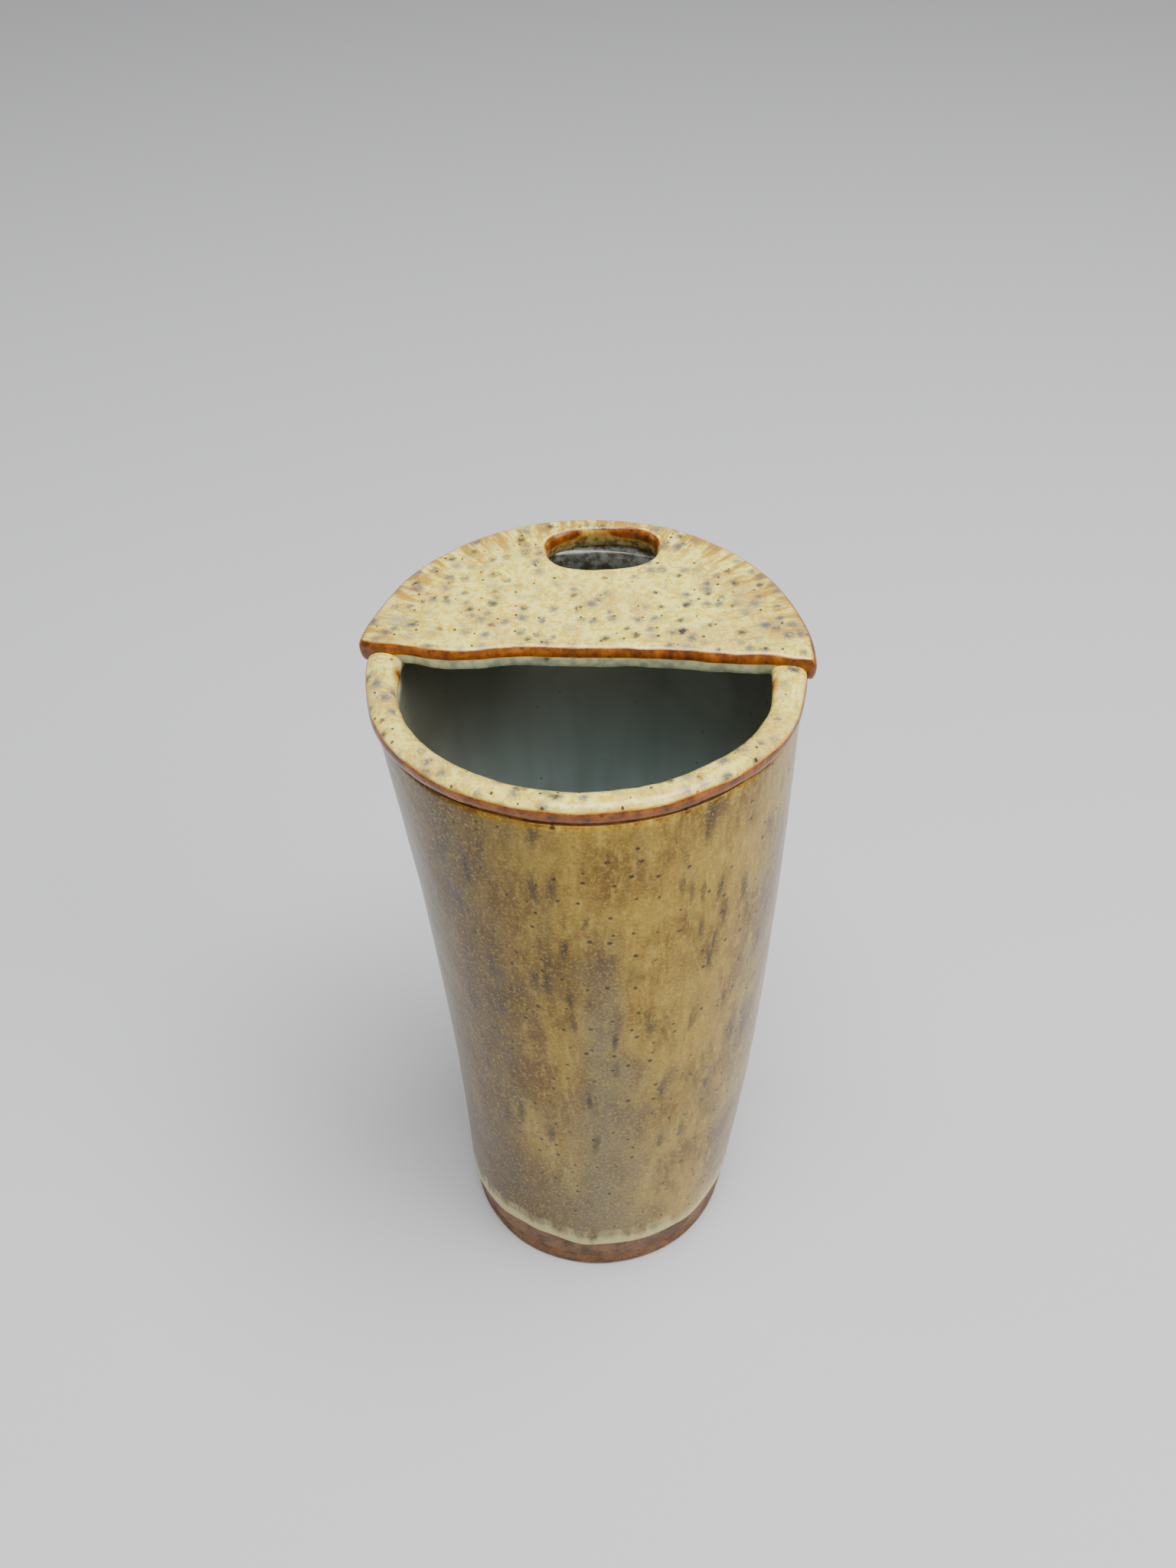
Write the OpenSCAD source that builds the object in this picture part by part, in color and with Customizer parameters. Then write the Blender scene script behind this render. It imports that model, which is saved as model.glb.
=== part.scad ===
// Stoneware vase with a half-covered mouth.
// A tapered wall stands on a round base slab.
// A thick rolled lip runs round the open front half of the mouth.
// A half-moon deck with an oval hole lies over the rear half.
// Origin: centre of the foot. +Z up, -Y towards the open half of the mouth.

/* [Body] */
// Height from the foot to the top edge of the wall below the lip, in mm
wall_top = 182; // [120:1:260]
// Radius of the base slab, in mm
base_radius = 36.5; // [28:0.5:50]
// Thickness of the base slab, in mm
base_thickness = 6; // [4:0.5:9]
// Bevel around the lower edge of the base slab, in mm
base_bevel = 1; // [0.5:0.1:1.5]
// How far the wall stands out past the base slab, in mm
wall_step = 0.4; // [0.2:0.1:1]
// Outer radius of the wall at its top edge, in mm
wall_top_radius = 49; // [40:0.1:70]
// Thickness of the wall, in mm
wall_thickness = 4.5; // [3.5:0.1:7]

/* [Lip] */
// Radius of the lip's round section, in mm
lip_radius = 2.7; // [2.4:0.1:3.6]
// How far the lip overhangs the outside of the wall, in mm
lip_overhang = 1.2; // [0.6:0.1:1.6]
// Height of the middle of the lip's section above the wall's top edge, in mm
lip_lift = 1.4; // [1:0.1:1.8]

/* [Deck] */
// Thickness of the deck slab, in mm
deck_thickness = 5; // [4:0.1:8]
// Rise of the deck towards the back, in degrees
deck_slope = 3.5; // [0:0.5:6]
// Turn of the deck's straight front edge, in degrees
deck_turn = 6; // [0:1:12]
// How far the straight front edge lies behind the middle of the mouth, in mm
deck_setback = 1.5; // [0:0.5:8]
// How far the deck's round edge overhangs the lip, in mm
deck_overhang = 0.6; // [0:0.1:1.5]
// Radius of the deck's rounded outer edge, in mm
deck_edge_radius = 1.7; // [1:0.1:1.9]
// Width of the oval hole, in mm
hole_width = 26; // [20:0.5:30]
// Depth of the oval hole from front to back, in mm
hole_depth = 16; // [13:0.5:18]
// How far the hole sits to the right of the middle, in mm
hole_shift = 4.5; // [0:0.5:10]
// Clay left behind the hole, from its rear edge to the deck's edge, in mm
hole_margin = 5.5; // [5:0.5:9]
// Radius of the small round ends of the oval hole, in mm
hole_end_radius = 5.5; // [4:0.1:6]

/* [Seams] */
// Width and height of the clay fillets in the corner under the deck, in mm
seam_size = 4; // [2.5:0.5:6]
// Clear distance between a fillet and the hole, in mm
seam_gap = 3; // [2:0.5:6]

/* [Glaze] */
// Thickness of each coat of glaze, in mm
glaze = 0.5; // [0.3:0.1:0.8]
// Height above the foot at which the outer glaze stops, in mm
glaze_line = 11; // [9.5:0.5:20]
// Radius of the thick bead at the lower edge of the outer glaze, in mm
glaze_bead = 0.9; // [0.9:0.1:1.3]

/* [Hidden] */
$fn = 96;

clay = [0.52, 0.31, 0.17];
foot_clay = [0.47, 0.33, 0.27];
ochre_glaze = [0.72, 0.60, 0.32];
cream_glaze = [0.88, 0.82, 0.58];
pale_glaze = [0.66, 0.74, 0.73];

// Reach of the cutting solids, past everything that they cut.
reach = 4 * (wall_top + wall_top_radius);

wall_foot_radius = base_radius + wall_step;
lip_outer_radius = wall_top_radius + lip_overhang;
lip_centre_radius = lip_outer_radius - lip_radius;
lip_z = wall_top + lip_lift;
nose_radius = deck_thickness / 2;
deck_radius = lip_outer_radius + deck_overhang;
// The deck's underside at the middle of the mouth lies on the glazed lip.
deck_z = lip_z + lip_radius + glaze;
// Above the highest point of the deck's underside.
ceiling_z = deck_z + deck_radius / 2;
hole_centre_y = deck_radius - hole_margin - hole_depth / 2;
// Slack between the coat under the deck and the fillets.
coat_slack = 0.3;

// Outer and inner radius of the wall's clay at a height.
function wall_radius(z) =
    wall_foot_radius
    + (wall_top_radius - wall_foot_radius) * (z - base_thickness) / (wall_top - base_thickness);
function bore_radius(z) = wall_radius(z) - wall_thickness;

// Puts its children in the deck's frame: underside at z = 0, turned and tilted.
module on_deck() {
    translate([0, 0, deck_z]) rotate([deck_slope, 0, 0]) children();
}

// Everything behind the deck's straight front edge, less a distance.
module rear_side(forward = 0) {
    rotate([0, 0, -deck_turn])
        translate([-reach / 2, deck_setback - forward, -reach / 2])
            cube([reach, reach, reach]);
}

// Everything in front of the deck's straight front edge.
module front_side() {
    rotate([0, 0, -deck_turn])
        translate([-reach / 2, deck_setback - reach, -reach / 2])
            cube([reach, reach, reach]);
}

// Cuts off what would stand above the deck's underside, everywhere.
module under_deck() {
    difference() {
        children();
        on_deck() translate([-reach / 2, -reach / 2, 0]) cube([reach, reach, reach / 2]);
    }
}

// Presses the lip down where the deck's rounded front edge lies over it.
module under_nose() {
    difference() {
        children();
        intersection() {
            on_deck() translate([-reach / 2, -reach / 2, 0]) cube([reach, reach, reach / 2]);
            rear_side(nose_radius + glaze);
        }
    }
}

// Cuts off what would stand above the wall's top edge at the open side.
module open_mouth() {
    difference() {
        children();
        difference() {
            translate([-reach / 2, -reach / 2, wall_top]) cube([reach, reach, reach / 2]);
            rear_side();
        }
    }
}

// An oval of four tangent arcs, grown outwards by a margin.
module oval_prism(grow, height) {
    half_w = hole_width / 2;
    half_d = hole_depth / 2;
    end_x = half_w - hole_end_radius;
    drop = (end_x * end_x - pow(half_d - hole_end_radius, 2)) / (2 * (half_d - hole_end_radius));
    long_radius = drop + half_d;
    join_x = end_x * long_radius / (long_radius - hole_end_radius);
    for (side = [-1, 1])
        translate([side * end_x, 0, 0])
            cylinder(r = hole_end_radius + grow, h = height);
    intersection() {
        translate([0, -drop, 0]) cylinder(r = long_radius + grow, h = height);
        translate([0, drop, 0]) cylinder(r = long_radius + grow, h = height);
        translate([-join_x, -reach / 2, 0]) cube([2 * join_x, reach, height]);
    }
}

// The hole's column, square to the deck.
module hole_column(grow) {
    translate([hole_shift, hole_centre_y, -3 * deck_thickness])
        oval_prism(grow, 6 * deck_thickness);
}

// The half-moon slab in the deck's frame, grown by a coat.
module deck_form(coat) {
    edge = deck_edge_radius;
    difference() {
        intersection() {
            rotate_extrude() {
                translate([0, -coat])
                    square([deck_radius - edge, deck_thickness + 2 * coat]);
                translate([0, edge])
                    square([deck_radius + coat, deck_thickness - 2 * edge]);
                for (z = [edge, deck_thickness - edge])
                    translate([deck_radius - edge, z]) circle(r = edge + coat);
            }
            union() {
                rear_side();
                rotate([0, 0, -deck_turn])
                    translate([-reach / 2, deck_setback, nose_radius])
                        rotate([0, 90, 0])
                            cylinder(r = nose_radius + coat, h = reach);
            }
        }
        hole_column(-coat);
    }
}

// Corner fillet between the wall's inner face and the deck's underside, all round.
// A reach past the wall's face makes it a cutter that shares no face with what it cuts.
module fillet_ring(past = 0) {
    low_z = deck_z - seam_size;
    inner = bore_radius(deck_z) - seam_size;
    run = (bore_radius(low_z) - inner) / seam_size;
    intersection() {
        rotate_extrude()
            polygon([
                [bore_radius(low_z) + past * run, low_z - past],
                [bore_radius(ceiling_z) + past, ceiling_z + past],
                [inner, ceiling_z + past],
                [inner, deck_z]
            ]);
        rear_side(-seam_size / 2);
    }
}

// The stretch of the fillet on one side of the hole.
module seam_span(side, past = 0) {
    hole_end = hole_shift + side * (hole_width / 2 + seam_gap);
    intersection() {
        fillet_ring(past);
        translate([hole_end + (side - 1) * reach / 2, -reach / 2, 0])
            cube([reach, reach, reach]);
    }
}

module seam(side) {
    under_deck() seam_span(side);
}

module base_slab() {
    color(foot_clay)
        rotate_extrude()
            polygon([
                [0, 0],
                [base_radius - base_bevel, 0],
                [base_radius, base_bevel],
                [base_radius, base_thickness],
                [0, base_thickness]
            ]);
}

module body_wall() {
    color(clay)
        open_mouth()
            under_deck()
                rotate_extrude()
                    polygon([
                        [bore_radius(base_thickness), base_thickness],
                        [wall_foot_radius, base_thickness],
                        [wall_radius(ceiling_z), ceiling_z],
                        [bore_radius(ceiling_z), ceiling_z]
                    ]);
}

module front_lip() {
    color(clay)
        under_nose()
            difference() {
                rotate_extrude()
                    intersection() {
                        translate([lip_centre_radius, lip_z]) circle(r = lip_radius);
                        translate([0, wall_top]) square([reach, reach]);
                    }
                rear_side();
            }
}

module deck_slab() {
    color(clay) on_deck() deck_form(0);
}

module seam_left() {
    color(clay) seam(-1);
}

module seam_right() {
    color(clay) seam(1);
}

// The outer coat: a thin cone with a bead at its foot.
module outer_glaze() {
    color(ochre_glaze)
        open_mouth()
            under_deck()
                rotate_extrude()
                    difference() {
                        union() {
                            polygon([
                                [wall_radius(glaze_line), glaze_line],
                                [wall_radius(glaze_line) + glaze, glaze_line],
                                [wall_radius(ceiling_z) + glaze, ceiling_z],
                                [wall_radius(ceiling_z), ceiling_z]
                            ]);
                            translate([wall_radius(glaze_line), glaze_line + glaze_bead])
                                circle(r = glaze_bead);
                        }
                        polygon([
                            [0, base_thickness],
                            [wall_foot_radius, base_thickness],
                            [wall_radius(ceiling_z), ceiling_z],
                            [0, ceiling_z]
                        ]);
                    }
}

// The coat all over the lip.
module lip_glaze() {
    color(cream_glaze)
        under_nose()
            difference() {
                rotate_extrude()
                    difference() {
                        intersection() {
                            translate([lip_centre_radius, lip_z])
                                circle(r = lip_radius + glaze);
                            translate([0, wall_top]) square([reach, reach]);
                        }
                        translate([lip_centre_radius, lip_z]) circle(r = lip_radius);
                    }
                rear_side();
            }
}

// The coat over the deck, round its edges and inside its hole.
module deck_glaze() {
    color(cream_glaze)
        on_deck()
            difference() {
                deck_form(glaze);
                deck_form(0);
                translate([-reach / 2, -reach / 2, -reach]) cube([reach, reach, reach]);
            }
}

// The coat under the deck.
module underside_glaze() {
    radius = bore_radius(deck_z) - seam_size - glaze - coat_slack;
    color(pale_glaze)
        on_deck()
            difference() {
                translate([0, 0, -glaze]) cylinder(r = radius, h = glaze);
                front_side();
                hole_column(-glaze);
            }
}

// The coat inside the vase: floor and wall.
module liner_glaze() {
    floor_z = base_thickness + glaze;
    color(pale_glaze)
        difference() {
            open_mouth()
                under_deck()
                    rotate_extrude()
                        polygon([
                            [0, base_thickness],
                            [bore_radius(base_thickness), base_thickness],
                            [bore_radius(ceiling_z), ceiling_z],
                            [bore_radius(ceiling_z) - glaze, ceiling_z],
                            [bore_radius(floor_z) - glaze, floor_z],
                            [0, floor_z]
                        ]);
            seam_span(-1, wall_thickness / 2);
            seam_span(1, wall_thickness / 2);
        }
}

base_slab();
body_wall();
front_lip();
deck_slab();
seam_left();
seam_right();
outer_glaze();
lip_glaze();
deck_glaze();
underside_glaze();
liner_glaze();
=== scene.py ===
import math

import bmesh
import bpy
from mathutils import Matrix, Vector, noise


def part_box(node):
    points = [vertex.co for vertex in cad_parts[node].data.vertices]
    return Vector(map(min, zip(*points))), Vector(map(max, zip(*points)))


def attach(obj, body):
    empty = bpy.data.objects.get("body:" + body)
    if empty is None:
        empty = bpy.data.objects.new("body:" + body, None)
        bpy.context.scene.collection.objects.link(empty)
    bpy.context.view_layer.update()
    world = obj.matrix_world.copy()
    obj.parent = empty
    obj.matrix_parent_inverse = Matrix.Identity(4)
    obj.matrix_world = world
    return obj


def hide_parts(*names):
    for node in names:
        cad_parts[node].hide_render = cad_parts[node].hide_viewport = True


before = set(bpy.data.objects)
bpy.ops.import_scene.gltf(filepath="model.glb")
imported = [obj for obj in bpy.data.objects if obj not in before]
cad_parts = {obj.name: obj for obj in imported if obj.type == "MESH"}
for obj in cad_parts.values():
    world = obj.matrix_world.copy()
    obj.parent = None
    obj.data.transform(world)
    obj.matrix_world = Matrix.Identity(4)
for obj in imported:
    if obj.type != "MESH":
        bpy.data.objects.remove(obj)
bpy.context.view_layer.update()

MM = 0.001


# ---------------------------------------------------------------- sizes, in mm

def corners(node):
    """Lowest and highest corner of a CAD piece, in mm."""
    low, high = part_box(node)
    return [v / MM for v in low], [v / MM for v in high]


base_high = corners("base_slab")[1]
lip_low, lip_high = corners("lip_glaze")
coat_low = corners("outer_glaze")[0]
deck_high = corners("deck_glaze")[1]

BASE_R = base_high[0]                  # foot
BASE_TOP = base_high[2]                # top of the base slab
RIM_R = lip_high[0] - 0.7              # widest part of the lip
LIP_Z = lip_low[2] + 1.4               # height of the lip's widest part
WALL_TOP = lip_low[2]                  # where the lip sits on the wall
SLOPE = math.tan(math.radians(3.5))    # the deck's rise towards the back
DECK_UNDER = lip_high[2] - 0.9         # the deck's underside at the middle
DECK_THICK = 5.2                       # height of the deck's top above that underside
GLAZE_LINE = coat_low[2]               # where the outer glaze stops
COAT = 0.5                             # thickness of a coat
CLAY = 4.5                             # thickness of the wall's clay
BOW = 2.6                              # how far the body leans out at half height
HOLE_X, HOLE_Y = 4.7, 37.7             # middle of the deck's oval hole
HOLE_W, HOLE_D = 13.2, 8.0             # half its width and depth
DECK_LOW = -0.5                        # the glazed underside, measured from deck_plane
DECK_HIGH = DECK_THICK + 0.05          # the glazed top, measured from deck_plane
EDGE_INSET = 2.1                       # how far the deck's edge rounds in at its top
HOLE_BEVEL = 1.5                       # rounding of the hole's rim
HOLE_FLARE = 0.8                       # how far the hole widens at the underside
AROUND = 256                           # points round each ring of the body
DECK_POINTS = 480                      # points round the deck and its hole


def smooth(low, high, x):
    """0 below low, 1 above high, and a smooth step between them."""
    t = min(max((x - low) / (high - low), 0.0), 1.0)
    return t * t * (3 - 2 * t)


def wave(x, y, z=0.0):
    """Smooth noise between about -1 and 1."""
    return noise.noise(Vector((x, y, z)))


def bow(z):
    """Sideways lean of the hand-built body at a height."""
    return BOW * math.sin(math.pi * min(max(z / LIP_Z, 0.0), 1.0))


def wobble(angle, z):
    """Small hand-made unevenness of the body's radius."""
    c, s = math.cos(angle), math.sin(angle)
    broad = 0.35 * wave(1.3 * c + 5, 1.3 * s, z / 55)
    fine = 0.10 * wave(6 * c, 6 * s + 3, z / 11)
    return (broad + fine) * smooth(0, 12, z) * (1 - 0.7 * smooth(150, 180, z))


def outer_radius(angle, z):
    """Radius of the glazed outside of the body."""
    foot = BASE_R + 0.9
    top = RIM_R - 1.1
    return foot + (top - foot) * (z - BASE_TOP) / (WALL_TOP - BASE_TOP) + wobble(angle, z)


def deck_plane(x, y):
    """Height of the deck's underside."""
    return DECK_UNDER + SLOPE * y


def front_edge(x):
    """The deck's hand-cut front edge: its y for an x."""
    points = [(-54, 5.4), (-46, 3.8), (-40, 2.8), (-35, 1.2), (-30, 0.4), (-25, 0.5), (-19, 1.1),
              (-13, 1.2), (-7, 0.6), (0, 0.1), (8, -0.3), (15, -0.8), (23, -1.6), (29, -2.9),
              (35, -3.6), (41, -3.9), (47, -5.6), (54, -7.4)]
    for (x0, y0), (x1, y1) in zip(points, points[1:]):
        if x <= x1:
            t = smooth(x0, x1, x)
            return y0 + (y1 - y0) * t
    return points[-1][1]


# ------------------------------------------------------------- mesh and pieces

def make_piece(name, rows, replaced, material, joined=False):
    """Draws a ring of edges out through rows of (x, y, z, rust, pale) points in mm.

    joined bridges the last ring to the first; otherwise both ends are closed."""
    mesh = bpy.data.meshes.new(name)
    work = bmesh.new()
    rust = work.verts.layers.float.new("rust")
    pale = work.verts.layers.float.new("pale")

    def settle(verts, row):
        for vert, point in zip(verts, row):
            vert.co = [v * MM for v in point[:3]]
            vert[rust] = point[3]
            vert[pale] = point[4]

    def edges_of(verts):
        return [work.edges.get(pair) for pair in zip(verts, verts[1:] + verts[:1])]

    first = bmesh.ops.create_circle(work, segments=len(rows[0]), radius=1.0)["verts"]
    settle(first, rows[0])
    last = first
    for row in rows[1:]:
        drawn = bmesh.ops.extrude_edge_only(work, edges=edges_of(last))["geom"]
        fresh = {part for part in drawn if isinstance(part, bmesh.types.BMVert)}
        last = [next(e.other_vert(v) for e in v.link_edges if e.other_vert(v) in fresh)
                for v in last]
        settle(last, row)
    if joined:
        bmesh.ops.bridge_loops(work, edges=edges_of(first) + edges_of(last))
    else:
        for end in (first, last):
            lid = bmesh.ops.contextual_create(work, geom=edges_of(end))["faces"]
            for hub in bmesh.ops.poke(work, faces=lid)["verts"]:
                hub[rust] = end[0][rust]
                hub[pale] = end[0][pale]
    for face in work.faces:
        face.smooth = True
    bmesh.ops.recalc_face_normals(work, faces=work.faces)
    work.to_mesh(mesh)
    work.free()
    piece = bpy.data.objects.new(name, mesh)
    bpy.context.scene.collection.objects.link(piece)
    mesh.materials.append(material)
    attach(piece, "root")
    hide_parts(*replaced)
    return piece


def ring(radius, z, lean=0.0):
    """A level ring at a height; radius is a number or a function of the angle."""
    points = []
    for i in range(AROUND):
        a = 2 * math.pi * i / AROUND
        r = radius(a) if callable(radius) else radius
        points.append((r * math.cos(a) + bow(z) * lean, r * math.sin(a), z, 0.0, 0.0))
    return points


# ------------------------------------------------------------------- materials

class Wire:
    """An output socket of a material's node tree that takes ordinary arithmetic."""

    def __init__(self, tree, socket):
        self.tree = tree
        self.socket = socket

    def node(self, kind, settings, inputs, out=0):
        """Adds a node with these settings and inputs, and gives one of its outputs."""
        made = self.tree.nodes.new(kind)
        for key, value in settings.items():
            setattr(made, key, value)
        for key, value in inputs.items():
            if isinstance(value, Wire):
                self.tree.links.new(value.socket, made.inputs[key])
            else:
                made.inputs[key].default_value = value
        return Wire(self.tree, made.outputs[out])

    def maths(self, operation, *others):
        """Arithmetic on this value and the others."""
        return self.node("ShaderNodeMath", {"operation": operation},
                         dict(enumerate((self,) + others)))

    def __add__(self, other):
        return self.maths("ADD", other)

    def __sub__(self, other):
        return self.maths("SUBTRACT", other)

    def __rsub__(self, other):
        return self.node("ShaderNodeMath", {"operation": "SUBTRACT"}, {0: other, 1: self})

    def __mul__(self, other):
        return self.maths("MULTIPLY", other)

    def __truediv__(self, other):
        return self.maths("DIVIDE", other)

    def __rtruediv__(self, other):
        return self.node("ShaderNodeMath", {"operation": "DIVIDE"}, {0: other, 1: self})

    def __neg__(self):
        return self.maths("MULTIPLY", -1.0)

    __radd__ = __add__
    __rmul__ = __mul__

    def step(self, low, high):
        """A smooth step from 0 at low to 1 at high; high may be below low."""
        if high < low:
            return 1 - self.step(high, low)
        return self.node("ShaderNodeMapRange", {"interpolation_type": "SMOOTHSTEP"},
                         {0: self, 1: low, 2: high, 3: 0.0, 4: 1.0})

    def at_least(self, other):
        return self.maths("MAXIMUM", other)

    def choose(self, colour_off, colour_on):
        """Blends two colours by this value."""
        return self.node("ShaderNodeMix", {"data_type": "RGBA", "clamp_factor": True},
                         {0: self, 6: colour_off, 7: colour_on}, out=2)


def rgb(red, green, blue):
    """A colour from everyday 0 to 255 values."""
    def linear(v):
        v = v / 255
        return v / 12.92 if v <= 0.04045 else ((v + 0.055) / 1.055) ** 2.4
    return (linear(red), linear(green), linear(blue), 1.0)


class Finish:
    """A material being built: its shader, and its position and mask wires, in mm."""

    def __init__(self, name):
        self.material = bpy.data.materials.new(name)
        self.material.use_nodes = True
        self.tree = self.material.node_tree
        self.shader = self.tree.nodes["Principled BSDF"]
        start = Wire(self.tree, None)
        place = start.node("ShaderNodeTexCoord", {}, {}, "Object")
        self.place = place.node("ShaderNodeVectorMath", {"operation": "SCALE"},
                                {0: place, 3: 1 / MM})
        self.x, self.y, self.z = [
            place.node("ShaderNodeSeparateXYZ", {}, {0: self.place}, axis) for axis in range(3)]

    def mask(self, name):
        """A value painted on the mesh."""
        return self.place.node("ShaderNodeAttribute", {"attribute_name": name}, {}, "Fac")

    def upward(self):
        """1 on faces that look up or down, 0 on upright ones."""
        normal = self.place.node("ShaderNodeNewGeometry", {}, {}, "Normal")
        height = normal.node("ShaderNodeSeparateXYZ", {}, {0: normal}, 2)
        return height.maths("ABSOLUTE").step(0.25, 0.65)

    def around(self, radius):
        """Distance in mm round the vase at a radius: 0 at the front, more to the right."""
        return self.x.maths("ARCTAN2", -self.y) * radius

    def point(self, x, y, z):
        return self.x.node("ShaderNodeCombineXYZ", {}, {0: x, 1: y, 2: z})

    def noise(self, place, size, detail=2.0, rough=0.5):
        """Soft noise of 0 to 1 with features of a size in mm."""
        return place.node("ShaderNodeTexNoise", {},
                          {"Vector": place, "Scale": 1 / size, "Detail": detail,
                           "Roughness": rough})

    def spots(self, place, spacing, radius, share, edge=0.25):
        """Round spots on a flat place: about a share of the cells of a spacing get one."""
        settings = {"feature": "F1", "distance": "EUCLIDEAN", "voronoi_dimensions": "2D"}
        inputs = {"Vector": place, "Scale": 1 / spacing, "Randomness": 0.9}
        cell = place.node("ShaderNodeTexVoronoi", settings, inputs)
        colour = Wire(self.tree, cell.socket.node.outputs["Color"])
        pick = colour.node("ShaderNodeSeparateXYZ", {}, {0: colour})
        other = colour.node("ShaderNodeSeparateXYZ", {}, {0: colour}, out=1)
        reach = pick.maths("GREATER_THAN", 1 - share) * (other * 0.5 + 0.5) * (radius / spacing)
        return (cell / (reach + 0.0001)).step(1.0, 1.0 - edge)

    def done(self, colour, roughness, bump, strength, distance):
        """Links the finished wires to the shader; distance is the bump's height in mm."""
        tree = self.tree
        tree.links.new(colour.socket, self.shader.inputs["Base Color"])
        tree.links.new(roughness.socket, self.shader.inputs["Roughness"])
        lifted = bump.node("ShaderNodeBump", {},
                           {"Strength": strength, "Distance": distance * MM, "Height": bump})
        tree.links.new(lifted.socket, self.shader.inputs["Normal"])
        return self.material


RUST = rgb(138, 74, 16)
RUST_DARK = rgb(88, 44, 12)
RUST_LIGHT = rgb(176, 106, 34)


def rusty(finish, mask, size):
    """Colour of the clay that shows through where the glaze is thin."""
    grain = finish.noise(finish.place, size, 4.0, 0.6)
    body = grain.step(0.30, 0.60).choose(RUST_DARK, RUST)
    return (mask * grain.step(0.50, 0.80)).choose(body, RUST_LIGHT)


def make_ochre():
    """Glossy ochre glaze of the body: streaks, a grey cloud, dark flecks and iron specks."""
    f = Finish("ochre_glaze")
    around = f.around(43.0)
    flat = f.point(around, f.z, 0.0)
    # 0 at the back, where the distance round the vase starts again and spots would be cut
    off_join = around.maths("ABSOLUTE").step(133.0, 124.0)
    bent = f.noise(f.point(f.x, f.y, f.z * 0.5), 16.0, 2.0) - 0.5
    x = f.x + bent * 6.0
    broad = f.noise(f.place, 30.0, 2.0)
    streaks = f.noise(f.point(x, f.y, f.z * 0.18), 3.4, 3.0, 0.6)
    thin_streaks = f.noise(f.point(x, f.y, f.z * 0.2), 1.3, 2.0, 0.6)
    grain = f.noise(f.place, 0.8, 3.0, 0.7)
    mottle = f.noise(f.point(f.x, f.y, f.z * 0.7), 2.4, 3.0, 0.7)
    blotch = f.noise(f.point(f.x, f.y, f.z * 0.5), 8.0, 3.0, 0.6)

    tan = rgb(172, 140, 50)
    light = rgb(204, 178, 82)
    brown = rgb(116, 82, 10)
    # deep brown, used both for the glaze and for painted shade on the left
    deep_brown_and_shade = rgb(74, 48, 2)
    grey = rgb(112, 104, 86)
    dark = rgb(34, 26, 26)
    arc_gold = rgb(200, 174, 88)
    haze_grey = rgb(84, 70, 60)
    iron = rgb(40, 24, 16)
    fine_light = rgb(206, 180, 76)
    fine_brown = rgb(96, 66, 20)
    foot_cream = rgb(214, 204, 140)

    # streaked tan, with browner and lighter mottling
    tone = broad * 0.40 + streaks * 0.30 + blotch * 0.30
    colour = tone.step(0.40, 0.58).choose(brown, tan)
    colour = (thin_streaks.step(0.52, 0.74) * 0.45).choose(colour, light)
    colour = (thin_streaks.step(0.46, 0.26) * 0.30).choose(colour, brown)
    colour = (mottle.step(0.52, 0.70) * 0.35).choose(colour, light)
    colour = (mottle.step(0.46, 0.30) * 0.35).choose(colour, brown)
    # darker over the left flank, part browner glaze and part painted shade on the side away from
    # the light; painted shade low on the left; and darker in scattered patches
    flank_brown_and_shade = around.step(-2.0, -34.0) * around.step(-110.0, -80.0)
    colour = (flank_brown_and_shade * (blotch * 0.9 + 0.35)).choose(colour, deep_brown_and_shade)
    # painted shade low on the left flank, where the floor's reflection would brighten it
    low = f.z.step(70.0, 15.0) * around.step(24.0, -20.0)
    colour = (low * (mottle * 0.6 + 0.40)).choose(colour, deep_brown_and_shade)
    patch = f.noise(f.point(f.x, f.y, f.z * 0.6), 19.0, 2.0).step(0.54, 0.70)
    colour = (patch * 0.55).choose(colour, deep_brown_and_shade)

    # the grey cloud that runs down the front, and fainter ones round the back
    centre = f.noise(f.point(0.0, 0.0, f.z), 26.0, 1.0) * 12.0 - 4.0
    reach = f.z.step(130.0, 40.0) * 16.0 + 6.0
    across = ((around - centre + bent * 8.0).maths("ABSOLUTE") / reach).step(1.25, 0.0)
    height = f.z.step(166.0, 110.0)
    cloud = across * height * (streaks * 0.7 + mottle * 0.5 + 0.15)
    others = f.noise(f.point(f.x, f.y, f.z * 0.3), 15.0, 2.0).step(0.56, 0.76) * 0.6
    others = others * f.y.step(-25.0, 10.0)
    colour = (cloud * 0.95).at_least(others * (mottle + 0.3)).choose(colour, grey)

    # pale arcs where the glaze flowed together low on the front
    side = (around - 3.0).maths("ABSOLUTE")
    arc = f.z - side * 1.9 - 26.0 + bent * 26.0
    arc = (arc.maths("ABSOLUTE").step(15.0, 0.0) * side.step(34.0, 20.0)
           * side.step(4.0, 12.0) * streaks.step(0.34, 0.60) * mottle.step(0.30, 0.55))
    colour = (arc * 0.5).choose(colour, arc_gold)

    # dark flecks, drawn out downwards, most of them in the upper half
    ragged = f.noise(f.place, 1.5, 3.0, 0.75) - 0.5
    flecks_at = f.point(around + ragged * 3.0 + bent * 8.0, f.z * 0.24 + ragged * 1.6, 0.0)
    clusters = f.noise(f.point(f.x, f.y, f.z * 0.5), 15.0, 1.0).step(0.38, 0.56)
    haze = f.spots(flecks_at, 6.5, 4.2, 0.45, 1.0) * off_join * f.z.step(20.0, 100.0)
    colour = (haze * streaks.step(0.35, 0.6) * 0.6).choose(colour, haze_grey)
    flecks = f.spots(flecks_at, 3.6, 2.0, 0.55, 0.9) * f.z.step(50.0, 130.0) * clusters
    flecks = flecks.at_least(f.spots(flecks_at, 6.2, 2.2, 0.35, 0.9) * f.z.step(10.0, 80.0))
    flecks = flecks * grain.step(0.24, 0.54) * streaks.step(0.30, 0.50) * off_join
    colour = (flecks * 0.95).choose(colour, dark)

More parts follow.
